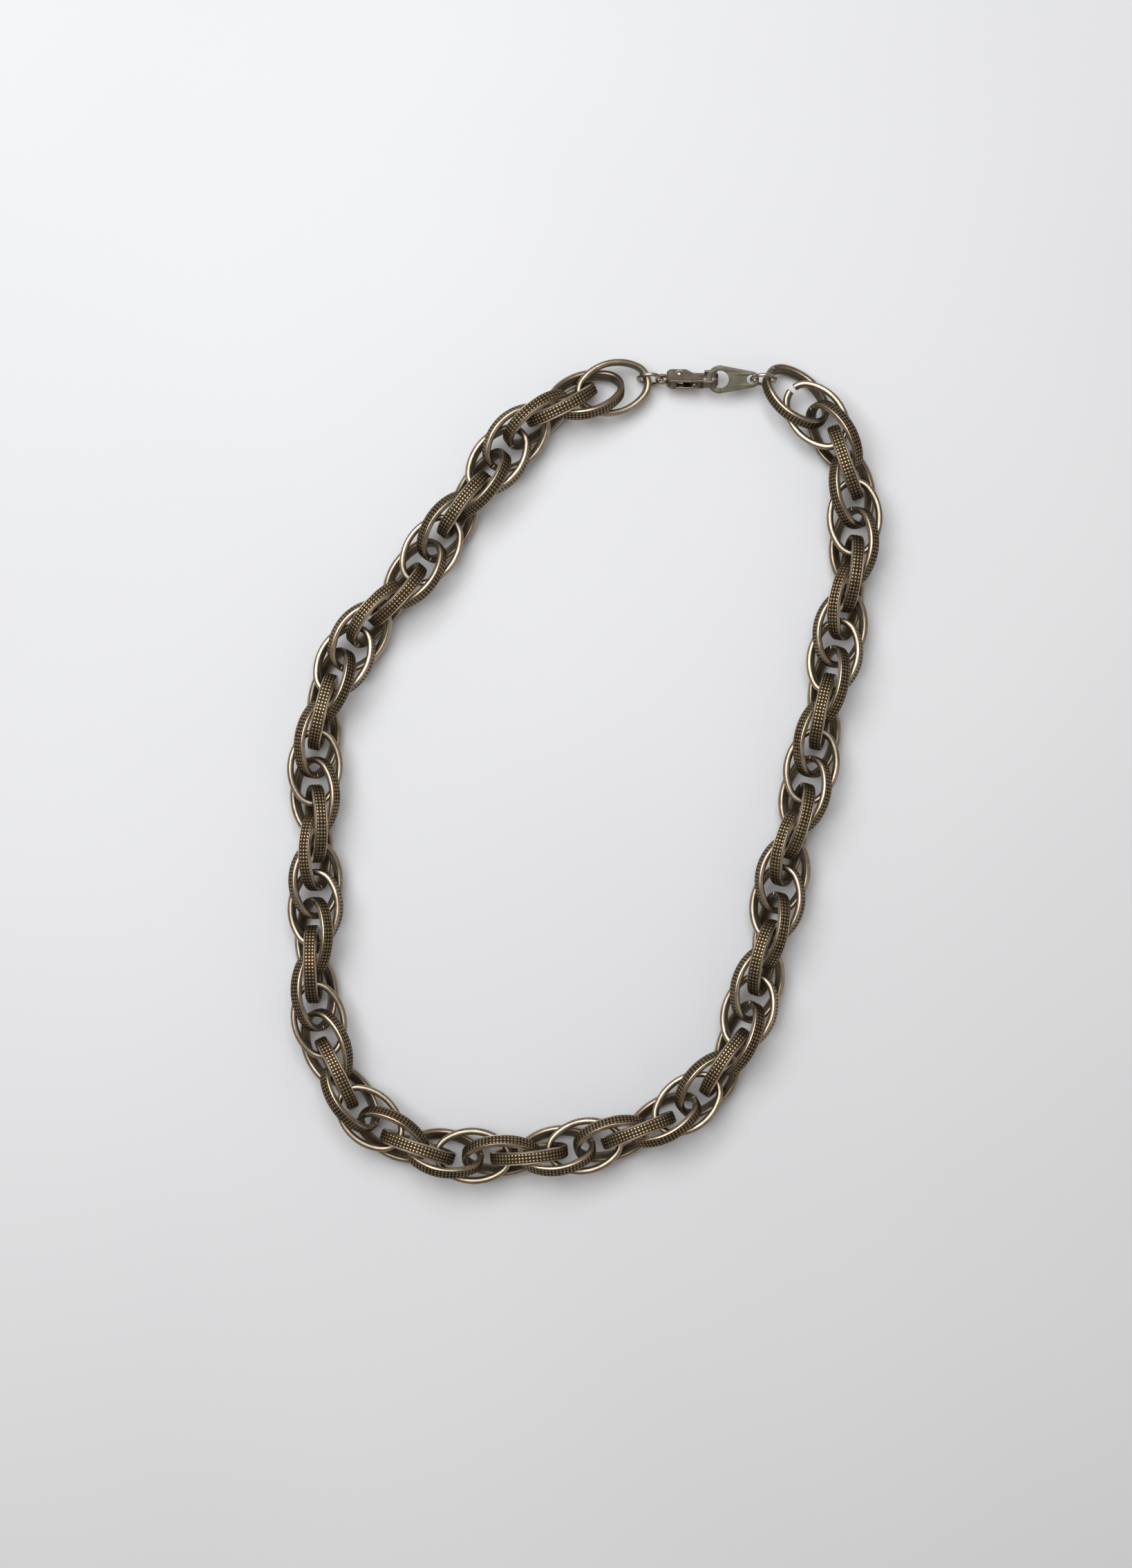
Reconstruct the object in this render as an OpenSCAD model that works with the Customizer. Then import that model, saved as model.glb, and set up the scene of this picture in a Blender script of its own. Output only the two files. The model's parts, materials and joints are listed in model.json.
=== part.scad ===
/* [Links] */
// Outer length of one oval link
link_len = 16.7; // [13.5:0.1:20.5]
// Outer width of one oval link
link_wid = 11.8; // [9.8:0.1:14.2]
// Radial thickness of the strip that a link is bent from
strip_t = 1.4; // [1.15:0.05:1.7]
// Play between the strips of neighbouring links
link_play = 0.45; // [0.3:0.01:0.5]
// Radius of the strip's rounded rims
rim = 0.64; // [0.4:0.01:0.8]
// Gap where the two ends of a bent strip meet
butt_gap = 0.3; // [0.2:0.05:0.6]
// Gap of the one link that has been sprung open
open_gap = 1.1; // [0.5:0.1:1.5]

/* [Chain] */
// Free length left in a link once the two links it holds are drawn apart
link_slack = 2; // [1.6:0.1:2.4]

/* [Jump rings] */
// Wire thickness of the two jump rings
ring_wire = 0.85; // [0.7:0.05:1.05]
// Free width inside a jump ring beside the strip it holds
ring_room = 1.35; // [1.1:0.05:1.8]
// Play of a jump ring's wire in the hole it passes through
wire_play = 0.53; // [0.45:0.01:0.65]

/* [Clasp] */
// Thickness of the folded sheet
sheet = 0.45; // [0.35:0.05:0.55]
// Outer thickness of the clasp over both side plates
clasp_thick = 2.2; // [1.8:0.1:2.7]
// Lean of the clasp about its own length
clasp_roll = 42; // [36:1:50]
// Diameter of the rivet that the lever turns on
rivet_d = 0.9; // [0.7:0.05:1.1]
// Play between moving clasp pieces
fit = 0.12; // [0.1:0.01:0.15]

/* [End tag] */
// Thickness of the tag
tag_t = 0.6; // [0.45:0.05:0.75]
// Distance between the tag's large hole and its small hole
tag_len = 6.5; // [5.4:0.1:7.8]
// Radius of the tag's large hole
tag_hole_r = 1.8; // [1.5:0.05:2.2]
// Play between the hook and the rim of the large hole
tag_play = 0.35; // [0.2:0.05:0.5]
// Lean of the tag about its own length
tag_roll = 12; // [8:1:16]

/* [Hidden] */
$fn = 48;
LINK_COUNT = 71;
ROWS = (LINK_COUNT - 1) / 2;
// Rows whose left and right links have a node each; the others share one node
SPLIT_ROWS = 17;
// The link with the open gap, counted from the clasp
OPEN_LINK = 69;
METAL = [0.56, 0.53, 0.46];
HARDWARE = [0.5, 0.47, 0.41];

// Route of the chain's middle as it lies, from the first link round to the last.
// Each point is x, y and the drop below the height at which the chain rests.
ROUTE = [
    [6.5, 79.4, -1.7], [-4, 75.9, -0.1], [-13.3, 68.9, 0.1], [-20.5, 60, 0], [-28, 50, 0], [-36, 39, 0],
    [-45, 29, 0], [-52.5, 16.5, 0], [-55.5, 2, 0], [-55.5, -12, 0], [-55.5, -27, 0], [-56, -42, 0],
    [-54, -56, 0], [-48, -69, 0], [-37, -78, 0], [-23, -81, 0], [-6, -80, 0], [8, -77, 0], [21, -71, 0],
    [31, -60, 0], [36.5, -46, 0], [40, -32, 0], [43, -18, 0], [47, -4, 0], [50, 10, 0], [53, 24, 0],
    [55.8, 38, 0], [57, 50, 0], [56, 60.5, 0], [52, 70, -0.1], [45, 77.5, -1.2]
];
// Number of straight steps between two points of the route
STEPS = 8;
// Turn of the links about the chain: link number and its angle from standing on edge
TWIST = [[0, -98], [5, 105], [16, 540], [28, 1022], [37, 1440], [53, 2130], [65, 2605], [70, 2820]];
// Smallest turn between two neighbouring links, which limits the strip's width
LEAST_TURN = 39.4;

// Link sizes: an oval of four arcs that meet on lines of slope 4 to 3
inner_half = link_wid / 2 - strip_t;
strip_w = 2 * inner_half * tan(LEAST_TURN / 2) - link_play;
rim_r = min(rim, 0.48 * strip_t);
half_len = (link_len - strip_t) / 2;
half_wid = (link_wid - strip_t) / 2;
end_x = 1.5 * (half_len - half_wid);
end_r = half_len - end_x;
side_y = 2 * (half_len - half_wid);
side_r = half_wid + side_y;
// Height of the chain's middle when its links rest on the ground
rest_h = norm([link_wid / 2 - rim_r, strip_w / 2 - rim_r]) + rim_r;

// Jump ring sizes
ring_in = (strip_w + ring_room) / 2;
ring_mid = ring_in + ring_wire / 2;
// Offset of the strip's middle from the ring's middle
strip_seat = 0.3 * ring_in;
wire_hole_r = ring_wire / 2 + wire_play;
// Offset of a hole's middle from the middle of the wire in it
wire_seat = 0.15;
from_ring_to_eye = ring_mid + wire_seat;

// Clasp sizes, from the middle of its eye: x along the clasp, y towards the gate
eye_r = wire_hole_r + 0.55;
eye_t = 0.8;
plate_gap = clasp_thick - 2 * sheet;
plate_top = 2.1;
plate_low = -2;
pivot = [3.6, 1];
bridge_x = [1.7, 3.1];
hook_w = 1.7;
hook_t = 0.5;
hook_x = 11.65;
hook_low = -1.7;
hook_top = 1.9;
hook_r = 1.3;
hook_root = 7.9;
hook_tip = 8.9;
knob = [6.9, -2.1];
knob_r = 0.6;
lever_w = plate_gap - 2 * fit;

// Tag sizes, from the middle of its large hole
tag_r = tag_hole_r + 1.15;
// The hook's strip stands slanting in the large hole
slant = 90 - clasp_roll - tag_roll;
slant_half = (hook_w + tag_t * sin(slant)) / 2 / cos(slant);
tag_x = hook_x - hook_t / 2 - tag_play + sqrt(tag_hole_r * tag_hole_r - slant_half * slant_half);
tag_end_half = 1.6;
tag_eye_rim = 0.7;

function unit(v) = v / norm(v);
function spline(a, b, c, d, u) =
    (2 * b + (c - a) * u + (2 * a - 5 * b + 4 * c - d) * u * u + (3 * b - 3 * c + d - a) * u * u * u) / 2;
function route_point(i) = ROUTE[max(0, min(len(ROUTE) - 1, i))];
track = [
    for (i = [0 : len(ROUTE) - 1]) for (j = [0 : i < len(ROUTE) - 1 ? STEPS - 1 : 0])
        spline(route_point(i - 1), route_point(i), route_point(i + 1), route_point(i + 2), j / STEPS)
];
// Distance along the track of each of its points
function step_len(i) = i + 1 < len(track) ? norm(track[i + 1] - track[i]) : 0;
miles = [for (i = 0, s = 0; i < len(track); s = s + step_len(i), i = i + 1) s];
track_len = miles[len(miles) - 1];
axes_table = [for (k = [0 : 2]) [for (i = [0 : len(track) - 1]) [miles[i], track[i][k]]]];

pitch = (link_len - 2 * strip_t - link_slack) / 2;
chain_len = (LINK_COUNT - 1) * pitch;
route_k = chain_len / track_len;
middle = [for (k = [0 : 1]) (max([for (p = track) p[k]]) + min([for (p = track) p[k]])) / 2];
// Distance that the clasp, the tag and the rings span between the end links
clasp_span = 2 * strip_seat + 2 * from_ring_to_eye + tag_x + tag_len;

// Place on the scaled route at the share u of its length, with its ends moved apart by the vector open
function place(u, open) = [
    (lookup(u * track_len, axes_table[0]) - middle[0]) * route_k + (u - 0.5) * open[0],
    (lookup(u * track_len, axes_table[1]) - middle[1]) * route_k + (u - 0.5) * open[1],
    rest_h + lookup(u * track_len, axes_table[2])
];
function link_share(i) = max(0, min(1, i / (LINK_COUNT - 1)));
function along(i, open) = unit(place(link_share(i + 1), open) - place(link_share(i - 1), open));
function across(i, open) = leaning(along(i, open), lookup(i, TWIST));
function first_end(open) = place(0, open) - along(0, open) * half_len;
// The last link is held part of the way round its end
LAST_TURN = 35;
function last_end(open) =
    place(1, open)
    + along(LINK_COUNT - 1, open) * (end_x + end_r * cos(LAST_TURN))
    + across(LINK_COUNT - 1, open) * end_r * sin(LAST_TURN);
// The ends are moved so that the clasp fits between them
loose_ends = last_end([0, 0]) - first_end([0, 0]);
OPEN = loose_ends * (clasp_span / norm(loose_ends) - 1);
function link_at(i) = place(link_share(i), OPEN);
function link_along(i) = along(i, OPEN);
// Frame of axes: along t, with its second axis turned by roll from upright about t
function upright(t) = unit([0, 0, 1] - t * t[2]);
function leaning(t, roll) = upright(t) * cos(roll) + cross(t, upright(t)) * sin(roll);
function frame(p, t, w) = [
    [t[0], w[0], cross(t, w)[0], p[0]],
    [t[1], w[1], cross(t, w)[1], p[1]],
    [t[2], w[2], cross(t, w)[2], p[2]],
    [0, 0, 0, 1]
];
function link_frame(i) = frame(link_at(i), link_along(i), leaning(link_along(i), lookup(i, TWIST)));

// The clasp and the tag lie on the line between the end links
line_start = first_end(OPEN);
line_end = last_end(OPEN);
line_dir = unit(line_end - line_start);
clasp_ring_at = line_start + line_dir * strip_seat;
eye_at = clasp_ring_at + line_dir * from_ring_to_eye;
tag_at = eye_at + line_dir * tag_x;
tag_ring_at = line_end - line_dir * strip_seat;
tag_span = norm(tag_ring_at - tag_at) - from_ring_to_eye;
clasp_ring_roll = -13;
tag_ring_roll = -12;

// Rounded section of the strip, standing at radius r
module strip_section(r) {
    translate([r, 0])
        for (m = [[1, 0], [0, 1]]) {
            square([strip_t - 2 * rim_r * m[0], strip_w - 2 * rim_r * m[1]], center = true);
        }
    for (x = [-1, 1]) {
        for (y = [-1, 1]) {
            translate([r + x * (strip_t / 2 - rim_r), y * (strip_w / 2 - rim_r)])
                circle(rim_r);
        }
    }
}

// Ring of strip, cut down to the wedge between two lines of slope 4 to 3 from its centre
module strip_arc(r, wedge) {
    reach = 2 * (side_r + strip_t);
    intersection() {
        rotate_extrude()
            strip_section(r);
        translate([0, 0, -strip_w])
            linear_extrude(2 * strip_w)
                polygon([for (p = wedge) p * reach]);
    }
}

// Half of the oval: one round end and one side
module half_oval() {
    translate([end_x, 0, 0])
        strip_arc(end_r, [[0, 0], [0.6, 0.8], [2, 0], [0.6, -0.8]]);
    translate([0, -side_y, 0])
        strip_arc(side_r, [[0, 0], [0.6, 0.8], [-0.6, 0.8]]);
}

// One oval link, its length along x, its cut at the +x end
module link(gap) {
    difference() {
        union() {
            half_oval();
            rotate([0, 0, 180])
                half_oval();
        }
        translate([half_len - strip_t, -gap / 2, -strip_w])
            cube([2 * strip_t, gap, 2 * strip_w]);
    }
}

module chain_link(i) {
    color(METAL)
        multmatrix(link_frame(i))
            link(i == OPEN_LINK ? open_gap : butt_gap);
}

// The links of one row: the same number of links from the clasp on either side
module left_link(row) {
    chain_link(row - 1);
}

module right_link(row) {
    chain_link(LINK_COUNT - row);
}

module link_pair(row) {
    left_link(row);
    right_link(row);
}

module front_link() {
    chain_link(ROWS);
}

// Round wire ring lying in the plane of x and y
module jump_ring() {
    rotate_extrude()
        translate([ring_mid, 0])
            circle(d = ring_wire);
}

module clasp_ring() {
    color(HARDWARE)
        multmatrix(frame(clasp_ring_at, line_dir, leaning(line_dir, clasp_ring_roll)))
            jump_ring();
}

module tag_ring() {
    color(HARDWARE)
        multmatrix(frame(tag_ring_at, line_dir, leaning(line_dir, tag_ring_roll)))
            jump_ring();
}

// Puts a piece drawn flat, with x along the clasp and z through its plates, in its place
module at_clasp() {
    multmatrix(frame(eye_at, line_dir, leaning(line_dir, -clasp_roll - 90)))
        children();
}

// Flat slab of a drawn outline, centred on z
module slab(t, z = 0) {
    translate([0, 0, z - t / 2])
        linear_extrude(t)
            children();
}

// Outline of a side plate
module plate_outline() {
    polygon([
        [0.9, -1], [1.7, plate_low], [7.4, plate_low], [8.8, -1.6], [8.8, -1.1], [5, plate_top],
        [1.6, plate_top], [0.9, 1.3]
    ]);
}

// Quarter of a bent strip: corner centre and start angle
module hook_bend(centre, from) {
    translate([centre[0], centre[1], 0])
        rotate([0, 0, from])
            rotate_extrude(angle = 90)
                translate([hook_r, 0])
                    square([hook_t, hook_w], center = true);
}

module bar(x, y, w) {
    translate([x[0], y[0], -w / 2])
        cube([x[1] - x[0], y[1] - y[0], w]);
}

// Hook: a flat strip that runs out along the low side, round the end and back along the top
module hook() {
    low = [hook_low - hook_t / 2, hook_low + hook_t / 2];
    top = [hook_top - hook_t / 2, hook_top + hook_t / 2];
    end = [hook_x - hook_t / 2, hook_x + hook_t / 2];
    bar([hook_root, 8.8], low, clasp_thick);
    bar([8.7, hook_x - hook_r], low, hook_w);
    hook_bend([hook_x - hook_r, hook_low + hook_r], -90);
    bar(end, [hook_low + hook_r, hook_top - hook_r], hook_w);
    hook_bend([hook_x - hook_r, hook_top - hook_r], 0);
    bar([hook_tip, hook_x - hook_r], top, hook_w);
}

module clasp_body() {
    color(HARDWARE)
        at_clasp()
            difference() {
                union() {
                    for (z = [-1, 1]) {
                        slab(sheet, z * (clasp_thick - sheet) / 2)
                            plate_outline();
                    }
                    bar(bridge_x, [plate_low, plate_low + sheet], clasp_thick);
                    bar([0.9, 1.4], [-1, 1.2], clasp_thick);
                    bar([0, 1], [-0.9, 0.9], eye_t);
                    slab(eye_t)
                        circle(eye_r);
                    hook();
                }
                translate([0, 0, -eye_t])
                    cylinder(h = 2 * eye_t, r = wire_hole_r);
                translate([pivot[0], pivot[1], -clasp_thick])
                    cylinder(h = 2 * clasp_thick, d = rivet_d);
            }
}

// Lever: the gate that closes the hook, and a knob on its low side
module clasp_lever() {
    color(HARDWARE)
        at_clasp()
            difference() {
                union() {
                    slab(lever_w)
                        polygon([
                            [3, 0.2], [3, 1.55], [9, 1.55], [9.3, 1.25], [9, 0.95], [6.6, 0.6],
                            [7.4, -1.6], [6.5, -2.2], [5.2, -0.4]
                        ]);
                    translate([knob[0], knob[1], 0])
                        cylinder(h = lever_w, r = knob_r, center = true);
                }
                translate([pivot[0], pivot[1], -lever_w])
                    cylinder(h = 2 * lever_w, d = rivet_d + fit);
            }
}

module clasp_rivet() {
    head_r = 0.85;
    head_h = 0.35;
    color(METAL)
        at_clasp()
            translate([pivot[0], pivot[1], 0]) {
                cylinder(h = clasp_thick, d = rivet_d, center = true);
                for (m = [0, 1]) {
                    mirror([0, 0, m])
                        translate([0, 0, clasp_thick / 2])
                            cylinder(h = head_h, r1 = head_r, r2 = 0.6 * head_r);
                }
            }
}

// Leaf spring: a V of thin strip that pushes the lever shut
module clasp_spring() {
    leaf = 0.18;
    fold = [1.9, -0.75];
    color(METAL)
        at_clasp()
            slab(0.6 * plate_gap)
                union() {
                    translate(fold)
                        circle(d = 2 * leaf);
                    translate(fold)
                        rotate(-10)
                            square([3, leaf]);
                    translate(fold)
                        rotate(5)
                            square([2.9, leaf]);
                }
}

module end_tag() {
    tag_end = tag_span + wire_hole_r + tag_eye_rim;
    color(HARDWARE)
        multmatrix(frame(tag_at, line_dir, leaning(line_dir, tag_roll - 90)))
            difference() {
                union() {
                    cylinder(h = tag_t, r = tag_r, center = true);
                    slab(tag_t)
                        polygon([
                            [0.4, tag_r - 0.1], [tag_end - 0.9, tag_end_half], [tag_end, 1],
                            [tag_end, -1], [tag_end - 0.9, -tag_end_half], [0.4, 0.1 - tag_r]
                        ]);
                }
                translate([0, 0, -tag_t])
                    cylinder(h = 2 * tag_t, r = tag_hole_r);
                translate([tag_span, 0, -tag_t])
                    cylinder(h = 2 * tag_t, r = wire_hole_r);
            }
}

function two_digits(n) = str(n < 10 ? "0" : "", n);
function left_name(row) = str("left_link_", two_digits(row));
function right_name(row) = str("right_link_", two_digits(row));
function pair_name(row) = str("link_pair_", two_digits(row));

clasp_body();
clasp_lever();
clasp_rivet();
clasp_spring();
clasp_ring();
end_tag();
tag_ring();
for (row = [1 : SPLIT_ROWS]) {
    left_link(row);
    right_link(row);
}
for (row = [SPLIT_ROWS + 1 : ROWS]) {
    link_pair(row);
}
front_link();
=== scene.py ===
import json
import math

import bmesh
import bpy
import numpy as np
from mathutils import Matrix, Vector


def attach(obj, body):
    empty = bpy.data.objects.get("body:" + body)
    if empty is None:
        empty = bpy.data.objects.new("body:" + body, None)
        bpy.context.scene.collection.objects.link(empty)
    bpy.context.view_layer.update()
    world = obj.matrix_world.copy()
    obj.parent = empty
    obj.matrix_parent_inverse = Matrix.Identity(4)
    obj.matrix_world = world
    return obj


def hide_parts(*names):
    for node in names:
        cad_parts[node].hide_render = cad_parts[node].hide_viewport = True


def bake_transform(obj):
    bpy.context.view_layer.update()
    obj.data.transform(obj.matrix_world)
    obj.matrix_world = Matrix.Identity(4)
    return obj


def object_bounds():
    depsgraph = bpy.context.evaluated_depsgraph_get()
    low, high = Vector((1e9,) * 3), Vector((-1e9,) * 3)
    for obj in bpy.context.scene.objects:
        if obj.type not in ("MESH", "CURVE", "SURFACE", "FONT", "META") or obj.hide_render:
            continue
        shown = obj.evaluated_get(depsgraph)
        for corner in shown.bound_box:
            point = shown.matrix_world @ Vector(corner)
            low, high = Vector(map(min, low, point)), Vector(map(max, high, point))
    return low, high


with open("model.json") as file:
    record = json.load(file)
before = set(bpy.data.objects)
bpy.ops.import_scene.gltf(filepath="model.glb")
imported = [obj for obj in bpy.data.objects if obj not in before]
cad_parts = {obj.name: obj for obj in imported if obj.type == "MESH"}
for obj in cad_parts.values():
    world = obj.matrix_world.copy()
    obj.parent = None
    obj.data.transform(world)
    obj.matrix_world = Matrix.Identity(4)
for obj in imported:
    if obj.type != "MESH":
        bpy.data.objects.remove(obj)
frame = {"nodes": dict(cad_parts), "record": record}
cad_low, cad_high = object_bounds()
RECORD = frame["record"]
BODY_OF = {n: b for b, nodes in RECORD["behaviour"]["bodies"].items() for n in nodes}
JOINTS = {j["name"]: j for j in RECORD["behaviour"]["joints"]}
MM = 0.001


# ---------------------------------------------------------------- node helpers
class Nodes:
    """A material's node tree, with one short call for each kind of node used here."""

    def __init__(self, name):
        self.mat = bpy.data.materials.new(name)
        self.mat.use_nodes = True
        self.tree = self.mat.node_tree
        self.shader = self.tree.nodes["Principled BSDF"]
        self.coords = self.tree.nodes.new("ShaderNodeTexCoord").outputs["Object"]

    def put(self, socket, value):
        if isinstance(value, bpy.types.NodeSocket):
            self.tree.links.new(value, socket)
        else:
            socket.default_value = value

    def noise(self, scale, detail=3.0, rough=0.6, stretch=None, shift=None):
        """Noise in the object's own coordinates; scale is in features a metre."""
        n = self.tree.nodes.new("ShaderNodeTexNoise")
        n.inputs["Scale"].default_value = scale
        n.inputs["Detail"].default_value = detail
        n.inputs["Roughness"].default_value = rough
        vector = self.coords
        if stretch:
            vector = self.vector("MULTIPLY", vector, stretch)
        if shift is not None:
            vector = self.vector("ADD", vector, shift)
        self.put(n.inputs["Vector"], vector)
        return n.outputs["Fac"]

    def vector(self, what, a, b):
        n = self.tree.nodes.new("ShaderNodeVectorMath")
        n.operation = what
        self.put(n.inputs[0], a)
        self.put(n.inputs[1], b)
        return n.outputs["Vector"]

    def math(self, what, a, b=0.5, clamp=False):
        n = self.tree.nodes.new("ShaderNodeMath")
        n.operation = what
        n.use_clamp = clamp
        self.put(n.inputs[0], a)
        self.put(n.inputs[1], b)
        return n.outputs[0]

    def ramp(self, value, low, high, to_low=0.0, to_high=1.0):
        """value's range low to high, eased to the range to_low to to_high."""
        n = self.tree.nodes.new("ShaderNodeMapRange")
        n.interpolation_type = "SMOOTHSTEP"
        self.put(n.inputs["Value"], value)
        for key, v in (("From Min", low), ("From Max", high), ("To Min", to_low), ("To Max", to_high)):
            self.put(n.inputs[key], v)
        return n.outputs["Result"]

    def mix(self, share, a, b, how="MIX"):
        n = self.tree.nodes.new("ShaderNodeMix")
        n.data_type = "RGBA"
        n.blend_type = how
        self.put(n.inputs[0], share)
        for socket, v in ((n.inputs[6], a), (n.inputs[7], b)):
            self.put(socket, (*v, 1.0) if isinstance(v, tuple) else v)
        return n.outputs[2]

    def attribute(self, name):
        n = self.tree.nodes.new("ShaderNodeAttribute")
        n.attribute_name = name
        split = self.tree.nodes.new("ShaderNodeSeparateColor")
        self.put(split.inputs[0], n.outputs["Color"])
        return split.outputs

    def per_object(self):
        return self.tree.nodes.new("ShaderNodeObjectInfo").outputs["Random"]

    def bump(self, height, distance, strength=1.0, under=None):
        n = self.tree.nodes.new("ShaderNodeBump")
        n.inputs["Distance"].default_value = distance
        n.inputs["Strength"].default_value = strength
        self.put(n.inputs["Height"], height)
        if under is not None:
            self.put(n.inputs["Normal"], under)
        return n.outputs["Normal"]

    def finish(self, colour, roughness, normal, metallic=1.0):
        self.put(self.shader.inputs["Base Color"], colour)
        self.put(self.shader.inputs["Roughness"], roughness)
        self.put(self.shader.inputs["Normal"], normal)
        self.put(self.shader.inputs["Metallic"], metallic)
        return self.mat


def link_material():
    """Aged nickel-bronze: dark patina in the knurling's grooves, worn bright on beads and rims, and painted
    shade darkening the inner face.
    """
    m = Nodes("aged_link_metal_painted_inner_shade")
    # zones carries the relief of beads and rims, the inner face's share of painted shade, and the knurled
    # face
    relief, inside, knurl = m.attribute("zones")[0:3]
    shift = m.vector("MULTIPLY", m.per_object(), (7.0, 3.0, 5.0))
    blotch = m.noise(420.0, 4.0, 0.6, shift=shift)
    grain = m.noise(5200.0, 3.0, 0.7, shift=shift)
    wear = m.ramp(m.math("ADD", relief, m.math("MULTIPLY", m.math("SUBTRACT", blotch, 0.5), 0.6)), 0.25, 1.1)
    face = m.mix(wear, (0.052, 0.037, 0.021), (0.50, 0.385, 0.24))
    rim = m.mix(m.ramp(blotch, 0.35, 0.7), (0.455, 0.378, 0.285), (0.31, 0.252, 0.178))
    # Painted shade: the inner face is coloured much darker than the rims, standing in for the shade inside
    # the link
    inner_shade = m.mix(m.ramp(blotch, 0.3, 0.7), (0.135, 0.111, 0.073), (0.075, 0.062, 0.040))
    colour = m.mix(knurl, m.mix(inside, rim, inner_shade), face)
    copper = m.ramp(m.noise(160.0, 2.0, 0.5, shift=shift), 0.56, 0.78, 0.0, 0.5)
    colour = m.mix(copper, colour, m.mix(1.0, colour, (1.0, 0.76, 0.62), "MULTIPLY"))
    tone = m.ramp(m.per_object(), 0.0, 1.0, 0.86, 1.0)
    both = m.tree.nodes.new("ShaderNodeCombineColor")
    for socket in both.inputs[0:3]:
        m.put(socket, tone)
    colour = m.mix(1.0, colour, both.outputs[0], "MULTIPLY")
    rough_face = m.ramp(wear, 0.0, 1.0, 0.60, 0.26)
    rough_rim = m.ramp(grain, 0.3, 0.75, 0.27, 0.38)
    rough = m.math("ADD", m.math("MULTIPLY", rough_face, knurl),
                   m.math("MULTIPLY", rough_rim, m.math("SUBTRACT", 1.0, knurl)))
    rough = m.math("ADD", rough, m.math("MULTIPLY", inside, 0.16), clamp=True)
    fine = m.bump(grain, 0.000010, 0.35)
    scratch = m.noise(2600.0, 2.0, 0.5, stretch=(0.12, 1.0, 1.0), shift=shift)
    return m.finish(colour, rough, m.bump(scratch, 0.000012, 0.35, fine))


def hardware_material(name, bright, dull, rough, mark=0.3):
    """Satin plated sheet or wire: cloudy tone, rubbed edges, fine grain and faint scratches."""
    m = Nodes(name)
    blotch = m.noise(380.0, 5.0, 0.62)
    grain = m.noise(6400.0, 2.0, 0.6)
    scratch = m.noise(1500.0, 3.0, 0.6, stretch=(0.10, 1.0, 1.0))
    colour = m.mix(m.ramp(blotch, 0.32, 0.68), bright, dull)
    specks = m.ramp(m.noise(1400.0, 2.0, 0.4), 0.62, 0.72, 0.0, mark)
    colour = m.mix(specks, colour, tuple(0.45 * c for c in dull))
    edge = m.attribute("zones")[0]
    colour = m.mix(m.math("MULTIPLY", edge, 0.75), colour, tuple(min(1.0, 1.25 * c) for c in bright))
    roughness = m.ramp(m.math("ADD", m.math("MULTIPLY", blotch, 0.6), m.math("MULTIPLY", scratch, 0.4)),
                       0.3, 0.7, rough - 0.06, rough + 0.08)
    fine = m.bump(grain, 0.000008, 0.4)
    return m.finish(colour, roughness, m.bump(scratch, 0.000014, 0.4, fine))


def paper_material():
    """Pale cool matt paper, a little cloudy."""
    m = Nodes("paper")
    fibre = m.noise(900.0, 6.0, 0.65)
    cloud = m.noise(7.0, 2.0, 0.5)
    colour = m.mix(m.ramp(cloud, 0.3, 0.7), (0.755, 0.772, 0.792), (0.735, 0.752, 0.775))
    return m.finish(colour, 0.75, m.bump(fibre, 0.00002, 0.25), 0.0)


# ---------------------------------------------------------------- mesh helpers
def new_object(name, verts, faces, zones=None):
    """A smooth-shaded mesh object. zones holds one colour per vertex, read by its material."""
    mesh = bpy.data.meshes.new(name)
    mesh.from_pydata([tuple(v) for v in verts], [], [tuple(f) for f in faces])
    layer = mesh.color_attributes.new("zones", "FLOAT_COLOR", "POINT")
    if zones is None:
        zones = np.zeros((len(mesh.vertices), 4))
    layer.data.foreach_set("color", np.asarray(zones, np.float32).reshape(-1))
    mesh.update()
    mesh.polygons.foreach_set("use_smooth", [True] * len(mesh.polygons))
    o = bpy.data.objects.new(name, mesh)
    bpy.context.scene.collection.objects.link(o)
    return o


def sweep(points, normals, across, section, closed=False):
    """Verts and faces of a section (loop of out, side) swept along points. Open ends are capped."""
    points, normals = np.asarray(points, float), np.asarray(normals, float)
    section = np.asarray(section, float)
    verts = (points[:, None] + normals[:, None] * section[None, :, 0:1]
             + np.asarray(across, float) * section[None, :, 1:2]).reshape(-1, 3)
    n, k = len(points), len(section)
    faces = []
    for i in range(n if closed else n - 1):
        j = (i + 1) % n
        for a in range(k):
            b = (a + 1) % k
            faces.append((i * k + a, i * k + b, j * k + b, j * k + a))
    if not closed:
        faces.append(tuple(range(k))[::-1])
        faces.append(tuple((n - 1) * k + a for a in range(k)))
    return verts, faces


def outward(o):
    """Turns the faces of o outward."""
    bm = bmesh.new()
    bm.from_mesh(o.data)
    bmesh.ops.recalc_face_normals(bm, faces=bm.faces)
    bm.to_mesh(o.data)
    bm.free()
    return o


def rounded_box_section(half_out, half_side, r, steps=4):
    """A rectangle of (out, side) with corners of radius r."""
    loop = []
    for sx, sy, start in ((1, 1, 0), (-1, 1, 90), (-1, -1, 180), (1, -1, 270)):
        for k in range(steps + 1):
            a = math.radians(start + 90 * k / steps)
            loop.append((sx * (half_out - r) + r * math.cos(a), sy * (half_side - r) + r * math.sin(a)))
    return loop


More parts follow.
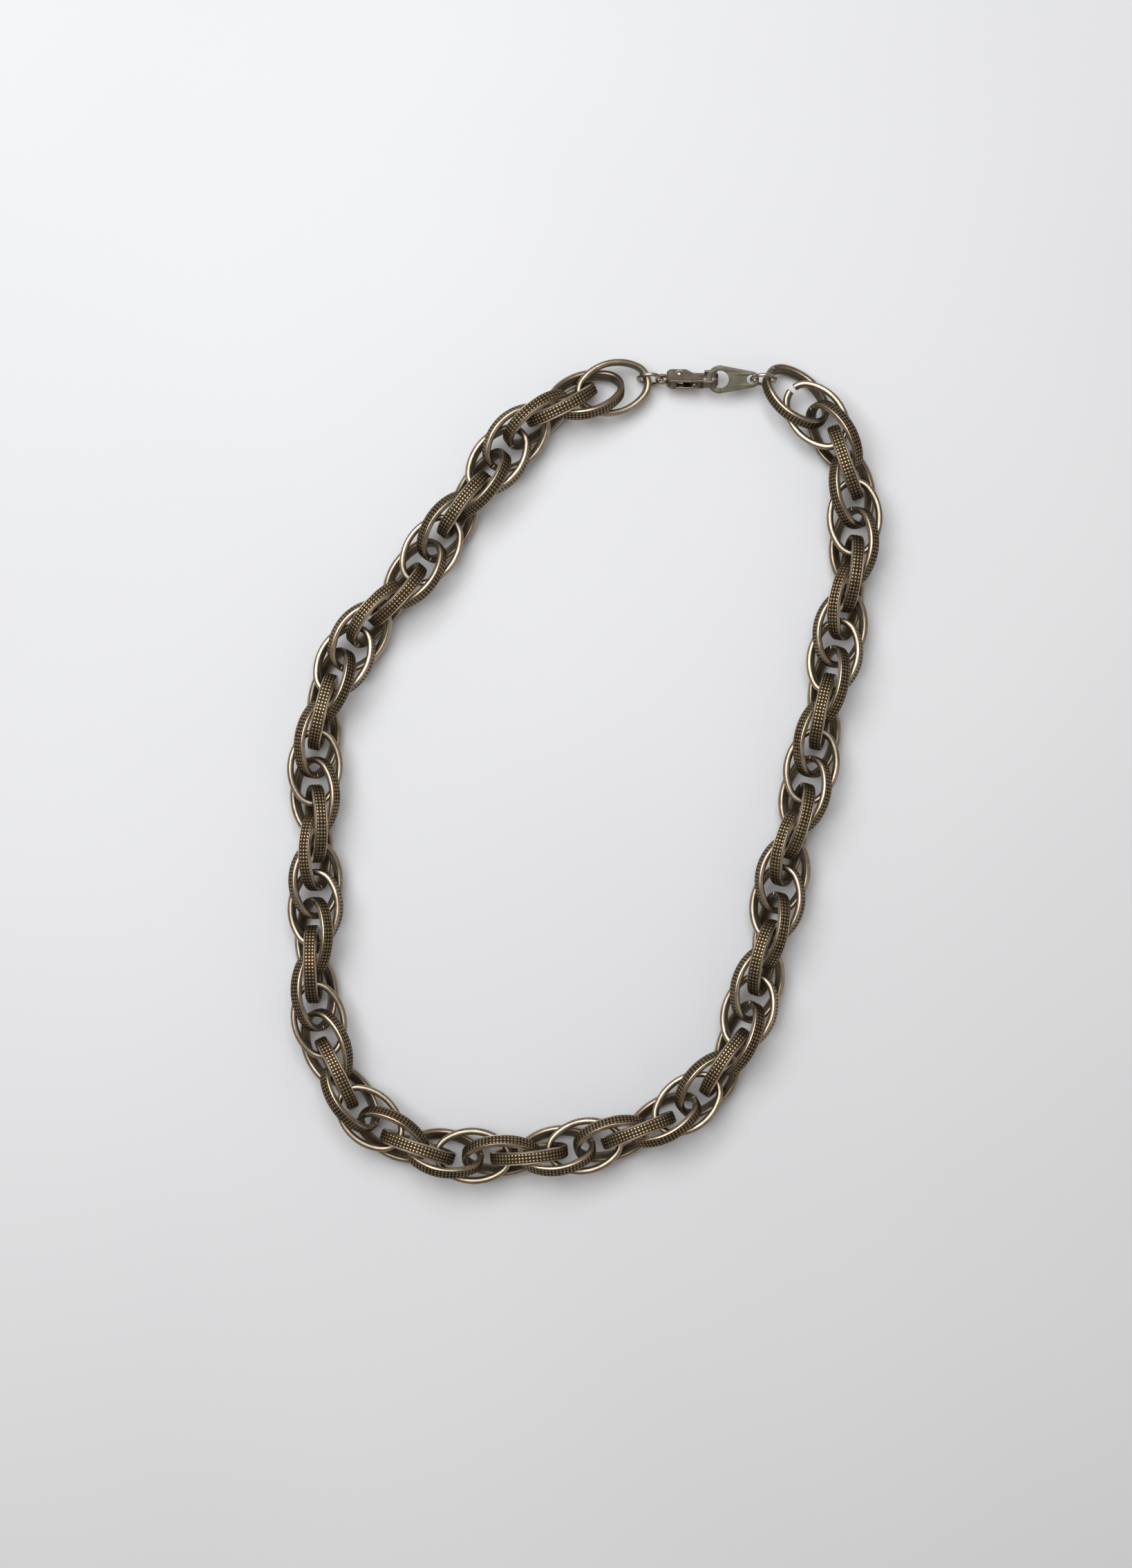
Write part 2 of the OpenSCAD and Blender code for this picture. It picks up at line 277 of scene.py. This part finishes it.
def plate(name, loops, thick, edge, z=0.0):
    """Flat sheet piece from an outer loop and hole loops in mm, its edges rounded by edge."""
    curve = bpy.data.curves.new(name, "CURVE")
    curve.dimensions = "2D"
    curve.fill_mode = "BOTH"
    curve.extrude = thick / 2 - edge
    curve.bevel_depth = edge
    curve.bevel_resolution = 2
    curve.offset = -edge
    for loop in loops:
        s = curve.splines.new("POLY")
        s.points.add(len(loop) - 1)
        for p, (x, y) in zip(s.points, loop):
            p.co = (x, y, 0, 1)
        s.use_cyclic_u = True
    o = bpy.data.objects.new(name, curve)
    bpy.context.scene.collection.objects.link(o)
    bpy.context.view_layer.update()
    mesh = bpy.data.meshes.new_from_object(o.evaluated_get(bpy.context.evaluated_depsgraph_get()))
    bpy.data.objects.remove(o)
    bm = bmesh.new()
    bm.from_mesh(mesh)
    bmesh.ops.remove_doubles(bm, verts=bm.verts, dist=1e-4)
    for v in bm.verts:
        v.co.z += z
    verts = [v.co.copy() for v in bm.verts]
    bm.verts.index_update()
    faces = [[v.index for v in f.verts] for f in bm.faces]
    rim = [0.0] * len(verts)
    for v in bm.verts:
        if abs(v.co.z - z) < thick / 2 - 0.3 * edge:
            rim[v.index] = 1.0
    bm.free()
    return verts, faces, rim


def arc(cx, cy, r, start, end, steps):
    """Points along an arc, its angles in degrees."""
    return [(cx + r * math.cos(math.radians(start + (end - start) * k / steps)),
             cy + r * math.sin(math.radians(start + (end - start) * k / steps))) for k in range(steps + 1)]


def softened(loop, r, steps=4):
    """The loop with its corners rounded by radius r, or less where a side is short."""
    out = []
    n = len(loop)
    for i in range(n):
        a, b, c = (np.array(loop[(i + d) % n], float) for d in (-1, 0, 1))
        u, v = a - b, c - b
        lu, lv = np.linalg.norm(u), np.linalg.norm(v)
        cut = min(r, 0.45 * lu, 0.45 * lv)
        p, q = b + u / lu * cut, b + v / lv * cut
        for k in range(steps + 1):
            t = k / steps
            out.append(tuple((1 - t) ** 2 * p + 2 * t * (1 - t) * b + t * t * q))
    return out


def assemble(name, pieces, matrix, material, node, smooth_angle=35, bends=False):
    """Joins pieces (verts, faces, rim), drawn in mm, into one object placed by matrix in metres.

    It rides its node's body, unless bends is set; then it rides no body.
    """
    verts, faces, zones = [], [], []
    for piece in pieces:
        v, f = piece[0], piece[1]
        rim = piece[2] if len(piece) > 2 else [0.0] * len(v)
        base = len(verts)
        verts += [tuple(Vector(p) * MM) for p in v]
        faces += [[base + i for i in face] for face in f]
        zones += [(r, 0.0, 0.0, 1.0) for r in rim]
    o = outward(new_object(name, verts, faces, zones))
    o.matrix_world = matrix
    o.data.materials.append(material)
    for face in o.data.polygons:
        face.use_smooth = abs(face.normal.z) < 0.999
    split = o.modifiers.new("sharp_edges", "EDGE_SPLIT")
    split.split_angle = math.radians(smooth_angle)
    level = o.modifiers.new("level_faces", "WEIGHTED_NORMAL")
    level.weight = 90
    if not bends:
        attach(o, BODY_OF[node])
    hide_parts(node)
    return o


# ---------------------------------------------------------------- reading the CAD
def islands(node):
    """The separate solids of a CAD node: a list of (points, triangles), both as arrays."""
    bm = bmesh.new()
    bm.from_mesh(frame["nodes"][node].data)
    bmesh.ops.remove_doubles(bm, verts=bm.verts, dist=1e-7)
    bmesh.ops.triangulate(bm, faces=bm.faces)
    seen, out = set(), []
    for start in bm.verts:
        if start in seen:
            continue
        group, stack = [], [start]
        seen.add(start)
        while stack:
            v = stack.pop()
            group.append(v)
            for e in v.link_edges:
                w = e.other_vert(v)
                if w not in seen:
                    seen.add(w)
                    stack.append(w)
        index = {v: i for i, v in enumerate(group)}
        points = np.array([v.co for v in group])
        faces = {f for v in group for f in v.link_faces}
        faces = sorted(([index[v] for v in f.verts] for f in faces))
        out.append((points, np.array(faces)))
    bm.free()
    return out


def principal_axes(points, triangles):
    """Centroid and axes of a surface, longest first, weighted by area."""
    a, b, c = (points[triangles[:, k]] for k in range(3))
    normal = np.cross(b - a, c - a)
    area = np.linalg.norm(normal, axis=1) / 2
    mid = (a + b + c) / 3
    centre = (mid * area[:, None]).sum(0) / area.sum()
    d = mid - centre
    _, axes = np.linalg.eigh((d * area[:, None]).T @ d)
    return centre, axes[:, ::-1], normal, mid


def placed(axes, centre):
    """Matrix with the columns of axes as its axes and centre as its origin."""
    m = Matrix.Identity(4)
    for r in range(3):
        for c in range(3):
            m[r][c] = axes[r, c]
        m[r][3] = centre[r]
    return m


def link_place(points, triangles):
    """Matrix of a link: x along it with the cut at +x, y across it, z through its flat side; and its gap."""
    centre, axes, normal, mid = principal_axes(points, triangles)
    local = (points - centre) @ axes
    low, high = local.min(0), local.max(0)
    centre = centre + axes @ ((low + high) / 2)
    local = (mid - centre) @ axes
    turned = (normal / np.linalg.norm(normal, axis=1)[:, None]) @ axes
    cut = (np.abs(turned[:, 1]) > 0.99) & (np.abs(local[:, 0]) > 0.8 * local[:, 0].max()) & (
        np.abs(local[:, 1]) < MM)
    gap = 2 * np.abs(local[cut, 1]).mean()
    if local[cut, 0].mean() < 0:
        axes = axes * np.array([-1, -1, 1])
    if np.linalg.det(axes) < 0:
        axes[:, 2] *= -1
    return placed(axes, centre), gap, high - low


# ---------------------------------------------------------------- the links
# Sizes in mm. out is away from the link's middle line, side is across the strip.
BEADS_ALONG = 56
BEADS_ACROSS = 3
# Along one bead: place as a share of its length, and height as a share of the full height
BEAD_STEPS = ((0.0, 0.0), (0.22, 0.72), (0.5, 1.0), (0.78, 0.72))
KNURL_HALF = 1.03
STRIP_HALF = 1.386
THICK_HALF = 0.70
RIM_R = 0.64
FACE_R = 0.52
BEAD_HIGH = 0.185
# The face is lower by this much beside the rims than in the middle
CROWN = 0.06
# The cut ends are drawn in over this length, to this share of the section
END_LEN = 0.06
END_PINCH = 0.93
# Marks a ring at a cut end, in place of a bead height
CUT = -1.0


def strip_profile():
    """Section of the strip as a loop of (out, side, bead share, zones)."""
    loop = []
    for b in range(BEADS_ACROSS):
        for at, high in BEAD_STEPS:
            side = -KNURL_HALF + 2 * KNURL_HALF * (b + at) / BEADS_ACROSS
            loop.append((FACE_R - CROWN * (side / KNURL_HALF) ** 2, side, high, (0.0, 0.0, 1.0)))
    loop.append((FACE_R - CROWN, KNURL_HALF, 0.0, (0.0, 0.0, 1.0)))
    # The inner rim's arc takes a growing share of the inner face's painted shade, in zones' second channel
    for sign, start, end, inner_shade in ((1, 60, 0, 0.0), (-1, 0, 90, 0.12)):
        for k in range(7):
            a = math.radians(start + (end - start) * k / 6)
            loop.append((sign * (THICK_HALF - RIM_R + RIM_R * math.sin(a)),
                         STRIP_HALF - RIM_R + RIM_R * math.cos(a), 0.0, (1.0, inner_shade * k, 0.0)))
    half = [p for p in loop if p[3][0] == 1.0]
    # The middle of the inner face takes the full painted shade
    loop.append((-THICK_HALF, 0.0, 0.0, (0.0, 1.0, 0.0)))
    loop += [(p[0], -p[1], p[2], p[3]) for p in reversed(half)]
    return loop


def oval(length, width):
    """The link's middle line as arcs (centre x, centre y, radius, start, sweep), from the +x tip round."""
    # The four arcs meet smoothly: their centres make right triangles with sides as 3, 4 and 5
    a, b = length / 2, width / 2
    end_x = 1.5 * (a - b)
    side_y = 2 * (a - b)
    end_r, side_r = a - end_x, b + side_y
    turn = math.atan2(4, 3)
    side_turn = math.pi - 2 * turn
    return [(end_x, 0, end_r, 0, turn),
            (0, -side_y, side_r, turn, side_turn),
            (-end_x, 0, end_r, math.pi - turn, 2 * turn),
            (0, side_y, side_r, math.pi + turn, side_turn),
            (end_x, 0, end_r, 2 * math.pi - turn, turn)]


def along_oval(arcs, s):
    """Point and outward normal in the plane, at length s along the arcs."""
    for cx, cy, r, start, turn in arcs:
        if s <= r * turn or (cx, cy, r, start, turn) == arcs[-1]:
            a = start + s / r
            return (cx + r * math.cos(a), cy + r * math.sin(a)), (math.cos(a), math.sin(a))
        s -= r * turn


def link_mesh(name, length, width, gap):
    """A link in metres: a knurled strip bent into an oval, cut at its +x end."""
    arcs = oval(length, width)
    total = sum(r * turn for _, _, r, _, turn in arcs)
    profile = strip_profile()
    start, end = gap / 2, total - gap / 2
    rings = []
    for b in range(BEADS_ALONG):
        for at, high in BEAD_STEPS:
            rings.append((start + (end - start) * (b + at) / BEADS_ALONG, high))
    rings.append((end, 0.0))
    rings[0:1] = [(start, CUT), (start + END_LEN, 0.0)]
    rings[-1:] = [(end - END_LEN, 0.0), (end, CUT)]
    verts, zones = [], []
    for s, high in rings:
        (px, py), (nx, ny) = along_oval(arcs, s)
        pinch = END_PINCH if high == CUT else 1.0
        for out, side, share, zone in profile:
            bead = BEAD_HIGH * share * max(high, 0.0)
            r = out * pinch + bead
            verts.append(((px + nx * r) * MM, (py + ny * r) * MM, side * pinch * MM))
            relief = share * max(high, 0.0) if zone[2] == 1.0 else zone[0]
            zones.append((relief, zone[1], zone[2], 1.0))
    n, k = len(rings), len(profile)
    faces = [(i * k + a, i * k + (a + 1) % k, (i + 1) * k + (a + 1) % k, (i + 1) * k + a)
             for i in range(n - 1) for a in range(k)]
    faces += [tuple(range(k))[::-1], tuple((n - 1) * k + a for a in range(k))]
    o = outward(new_object(name, verts, faces, zones))
    mesh = o.data
    bpy.data.objects.remove(o)
    return mesh


LINK_METAL = link_material()
meshes = {}
count = 0
for node in sorted(n for n in frame["nodes"] if "link" in n):
    for points, triangles in islands(node):
        matrix, gap, size = link_place(points, triangles)
        key = round(gap / MM, 1)
        if key not in meshes:
            length, width = (size[k] / MM - 2 * THICK_HALF for k in (0, 1))
            meshes[key] = link_mesh("strip_link_%02d" % round(10 * key), length, width, key)
            meshes[key].materials.append(LINK_METAL)
        count += 1
        o = bpy.data.objects.new("chain_link_%02d" % count, meshes[key])
        bpy.context.scene.collection.objects.link(o)
        o.matrix_world = matrix
        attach(o, BODY_OF[node])
        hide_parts(node)

# ---------------------------------------------------------------- the hardware
SHEET = hardware_material("aged_sheet_metal", (0.135, 0.122, 0.090), (0.100, 0.090, 0.066), 0.42)
WIRE = hardware_material("ring_wire_metal", (0.50, 0.45, 0.37), (0.34, 0.30, 0.235), 0.24)
BODY = hardware_material("clasp_metal", (0.30, 0.25, 0.188), (0.20, 0.163, 0.12), 0.30)
STEEL = hardware_material("spring_metal", (0.55, 0.55, 0.54), (0.40, 0.40, 0.39), 0.30)

LINE = Vector(JOINTS["rings_swing"]["axis"]).normalized()
EYE = Vector(JOINTS["rings_swing"]["pos_m"])
THROUGH = Vector(JOINTS["lever_hinge"]["axis"]).normalized()
UP_CLASP = THROUGH.cross(LINE).normalized()


CLASP = placed(np.array([LINE, UP_CLASP, THROUGH]).T, EYE)
RING_GAP = 0.2


def flat_axes(normal):
    """Axes of a flat piece at the clasp: x along the clasp's line, z its normal, turned up."""
    z = Vector(normal)
    if z.z < 0:
        z = -z
    x = (LINE - z * LINE.dot(z)).normalized()
    return x, z.cross(x), z


def ring(name, node, cut_at):
    """Jump ring: round wire bent round, its cut ends not quite closed, in the CAD ring's place."""
    points, triangles = islands(node)[0]
    centre, axes, _, _ = principal_axes(points, triangles)
    local = (points - centre) @ axes
    wire = (local[:, 2].max() - local[:, 2].min()) / MM
    mid = (local[:, 0].max() - local[:, 0].min()) / 2 / MM - wire / 2
    steps = 72
    gap = RING_GAP / 2 / mid
    path, normals = [], []
    for k in range(steps + 1):
        a = math.radians(cut_at) + gap + (2 * math.pi - 2 * gap) * k / steps
        path.append((mid * math.cos(a), mid * math.sin(a), 0))
        normals.append((math.cos(a), math.sin(a), 0))
    section = arc(0, 0, wire / 2, 0, 342, 19)
    v, f = sweep(path, normals, (0, 0, 1), section)
    place = placed(np.array(flat_axes(axes[:, 2])).T, centre)
    assemble(name, [(v, f)], place, WIRE, node, 60)


ring("clasp_jump_ring", "clasp_ring", 62)
ring("tag_jump_ring", "tag_ring", 118)

# Clasp sizes in mm, from the middle of the eye, as the CAD clasp has them
THICK = 2.2
GAUGE = 0.45
GATE_PLAY = 0.12
LOW = -2.0
PIVOT = (3.6, 1.0)
PIN_R = 0.45
EYE_R, EYE_HOLE, EYE_THICK = 1.5, 0.955, 0.8
HOOK_LOW, HOOK_TOP, HOOK_X, HOOK_BEND = -1.7, 1.9, 11.65, 1.3
KNOB = (6.9, -2.1, 0)


def with_normals(points):
    """Points in the plane as 3-D points, and the normals of their path."""
    path = np.column_stack([np.array(points, float), np.zeros(len(points))])
    step = np.gradient(path, axis=0)
    step /= np.linalg.norm(step, axis=1)[:, None]
    return path, np.stack([step[:, 1], -step[:, 0], np.zeros(len(path))], 1)


def strip_path(points, bend, steps=6):
    """A polyline with its inner corners rounded by bend, and its normals in the plane."""
    out = [points[0]]
    for i in range(1, len(points) - 1):
        a, b, c = (np.array(points[i + d], float) for d in (-1, 0, 1))
        u, v = (a - b) / np.linalg.norm(a - b), (c - b) / np.linalg.norm(c - b)
        p, q = b + u * bend, b + v * bend
        centre = p + (q - b)
        for k in range(steps + 1):
            t = math.radians(90 * k / steps)
            out.append(tuple(centre + (p - centre) * math.cos(t) + (q - centre) * math.sin(t)))
    out.append(points[-1])
    return with_normals(out)


def clasp_shell():
    """Two side plates, the web under them, the eye's tongue and the strip bent into a hook."""
    outline = softened([(0.9, -1.0), (1.7, -2.0), (7.4, -2.0), (8.8, -1.6), (8.8, -1.1), (5.0, 2.1),
                        (1.6, 2.1), (0.9, 1.3)], 0.35)
    hole = arc(*PIVOT, PIN_R, 0, 345, 23)
    pieces = [plate("side", [outline, hole], GAUGE, 0.09, side * (THICK - GAUGE) / 2) for side in (-1, 1)]
    fold = rounded_box_section(THICK / 2, GAUGE / 2, 0.2)
    web = [(x, LOW + GAUGE / 2, 0) for x in (1.75, 2.1, 2.7, 3.05)]
    pieces.append(sweep(web, [(0, 0, 1)] * 4, (0, 1, 0), fold))
    back = rounded_box_section(THICK / 2, 0.25, 0.12)
    pieces.append(sweep([(1.15, y, 0) for y in (-0.95, 0.0, 1.15)], [(0, 0, 1)] * 3, (1, 0, 0), back))
    tail = arc(0, 0, EYE_R, 38, 322, 36) + [(1.25, -0.9), (1.25, 0.9)]
    pieces.append(plate("tail", [tail, arc(0, 0, EYE_HOLE, 0, 348, 29)], EYE_THICK, 0.2))
    path, normals = strip_path([(7.9, HOOK_LOW), (HOOK_X, HOOK_LOW), (HOOK_X, HOOK_TOP), (8.9, HOOK_TOP)],
                               HOOK_BEND, 8)
    pieces.append(sweep(path, normals, (0, 0, 1), rounded_box_section(0.25, 0.85, 0.12)))
    neck = rounded_box_section(0.25, 1.08, 0.12)
    pieces.append(sweep([(x, HOOK_LOW, 0) for x in (7.5, 8.2, 8.75)], [(0, 1, 0)] * 3, (0, 0, 1), neck))
    assemble("clasp_shell", pieces, CLASP, BODY, "clasp_body")


def clasp_gate():
    """The thumb lever between the plates, with its dished knob."""
    width = THICK - 2 * GAUGE - 2 * GATE_PLAY
    outline = softened([(3.0, 0.2), (3.0, 1.55), (9.0, 1.55), (9.3, 1.25), (9.0, 0.95), (6.6, 0.6),
                        (7.4, -1.6), (6.5, -2.2), (5.2, -0.4)], 0.25)
    pieces = [plate("gate", [outline, arc(*PIVOT, PIN_R + GATE_PLAY / 2, 0, 345, 23)], width, 0.1)]
    knob = [(0.0, -0.66), (0.30, -0.66), (0.50, -0.55), (0.60, -0.30), (0.60, 0.30), (0.50, 0.55),
            (0.38, 0.64), (0.22, 0.60), (0.0, 0.52)]
    pieces.append(lathe(knob, KNOB))
    assemble("clasp_gate", pieces, CLASP, BODY, "clasp_lever")


def lathe(profile, centre, steps=32):
    """Turned piece about z: profile of (radius, height) from the axis out and back to the axis."""
    verts, faces = [], []
    k = len(profile)
    for i in range(steps):
        a = 2 * math.pi * i / steps
        for r, h in profile:
            verts.append((centre[0] + r * math.cos(a), centre[1] + r * math.sin(a), centre[2] + h))
    for i in range(steps):
        j = (i + 1) % steps
        for a in range(k - 1):
            faces.append((i * k + a, j * k + a, j * k + a + 1, i * k + a + 1))
    bm = bmesh.new()
    made = [bm.verts.new(v) for v in verts]
    for f in faces:
        bm.faces.new([made[x] for x in f])
    bmesh.ops.remove_doubles(bm, verts=bm.verts, dist=1e-5)
    bm.verts.index_update()
    out = [v.co.copy() for v in bm.verts], [[v.index for v in f.verts] for f in bm.faces]
    bm.free()
    return out


def clasp_pin():
    """The pivot rivet, with a domed head on each side."""
    top = THICK / 2
    head = [(PIN_R, 0), (0.84, 0), (0.84, 0.03), (0.66, 0.2), (0.35, 0.32), (0.0, 0.34)]
    profile = [(r, -top - h) for r, h in reversed(head)] + [(r, top + h) for r, h in head]
    assemble("clasp_rivet_pin", [lathe(profile, (*PIVOT, 0))], CLASP, WIRE, "clasp_rivet")


def leaf_part(name, points, bends=False):
    """A length of the leaf spring, bent along points, with rounded edges."""
    path, normals = with_normals(points)
    wide = rounded_box_section(0.08, 0.38, 0.04, 2)
    return assemble(name, [sweep(path, normals, (0, 0, 1), wide)], CLASP, STEEL,
                    "clasp_spring", bends=bends)


def clasp_leaf():
    """The folded leaf spring: its root stays in the shell, and its upper leaf is baked in place on no body.
    """
    leaf_part("clasp_spring_root", [(4.4, -1.12), (3.4, -0.95), (2.3, -0.76), (1.95, -0.68), (1.85, -0.58),
                                    (1.95, -0.50), (2.3, -0.49)])
    steps = 12
    leaf = leaf_part("clasp_spring_leaf", [(2.25 + 2.45 * k / steps, -0.49 + 0.05 * k / steps)
                                           for k in range(steps + 1)], bends=True)
    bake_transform(leaf)


TAG_HOLE_R, TAG_EYE_R, TAG_EYE_WALL = 1.8, 0.955, 0.7


def tag_plate():
    """The end tag, in the CAD tag's place: x to its small eye, z up through it."""
    points, triangles = islands("end_tag")[0]
    _, axes, _, _ = principal_axes(points, triangles)
    x, y, z = flat_axes(axes[:, 2])
    origin = Vector(JOINTS["end_tag_swing"]["pos_m"])
    along, through = ([(Vector(p) - origin).dot(axis) / MM for p in points] for axis in (x, z))
    thick = max(through) - min(through)
    end, big = max(along), -min(along)
    loop = arc(0, 0, big, 88, 272, 40) + softened_end(big, end)
    holes = [arc(0, 0, TAG_HOLE_R, 0, 352, 44),
             arc(end - TAG_EYE_R - TAG_EYE_WALL, 0, TAG_EYE_R, 0, 348, 29)]
    assemble("end_tag_plate", [plate("tag", [loop] + holes, thick, 0.1)],
             placed(np.array([x, y, z]).T, origin), SHEET, "end_tag")


def softened_end(big, end):
    """The tag's tapered end as a line with its corners rounded, from below its round end to above it."""
    corners = [(0.4, 0.1 - big), (end - 0.9, -1.6), (end, -1.0),
               (end, 1.0), (end - 0.9, 1.6), (0.4, big - 0.1)]
    points_each = 5
    return [corners[0]] + softened(corners, 0.35)[points_each:-points_each] + [corners[-1]]


clasp_shell()
clasp_gate()
clasp_pin()
clasp_leaf()
tag_plate()

# ---------------------------------------------------------------- stage, light and camera
FLOOR = 3.0
FLOOR_DROP = 0.00002
floor = new_object("paper_floor", [(-FLOOR, -FLOOR, 0), (FLOOR, -FLOOR, 0), (FLOOR, FLOOR, 0),
                                   (-FLOOR, FLOOR, 0)], [(0, 1, 2, 3)])
floor.data.materials.append(paper_material())
floor.location.z = cad_low.z - FLOOR_DROP


def area_light(name, place, target, size, power, colour):
    """A soft rectangular light at place, aimed at target."""
    data = bpy.data.lights.new(name, "AREA")
    data.shape = "RECTANGLE"
    data.size, data.size_y = size
    data.energy = power
    data.color = colour
    o = bpy.data.objects.new(name, data)
    o.location = place
    o.rotation_euler = (Vector(target) - Vector(place)).to_track_quat("-Z", "Y").to_euler()
    bpy.context.scene.collection.objects.link(o)


area_light("window", (-0.135, 0.20, 0.56), (-0.02, 0.05, 0), (0.56, 0.48), 3.95, (0.98, 0.99, 1.0))
area_light("bounce", (0.9, -0.5, 0.8), (0, 0, 0), (0.8, 0.8), 1.0, (1.0, 0.96, 0.92))

world = bpy.data.worlds.new("room")
bpy.context.scene.world = world
world.use_nodes = True
background = world.node_tree.nodes["Background"]
background.inputs["Color"].default_value = (0.80, 0.71, 0.655, 1)
background.inputs["Strength"].default_value = 0.29

camera = bpy.data.cameras.new("camera")
camera.lens = 50
camera.sensor_width = 36
camera.clip_start = 0.01
eye = bpy.data.objects.new("camera", camera)
bpy.context.scene.collection.objects.link(eye)
eye.location = (-0.0038, -0.0027, 0.467)
eye.rotation_euler = (0, 0, 0)
bpy.context.scene.camera = eye
bpy.context.scene.view_settings.view_transform = "Standard"
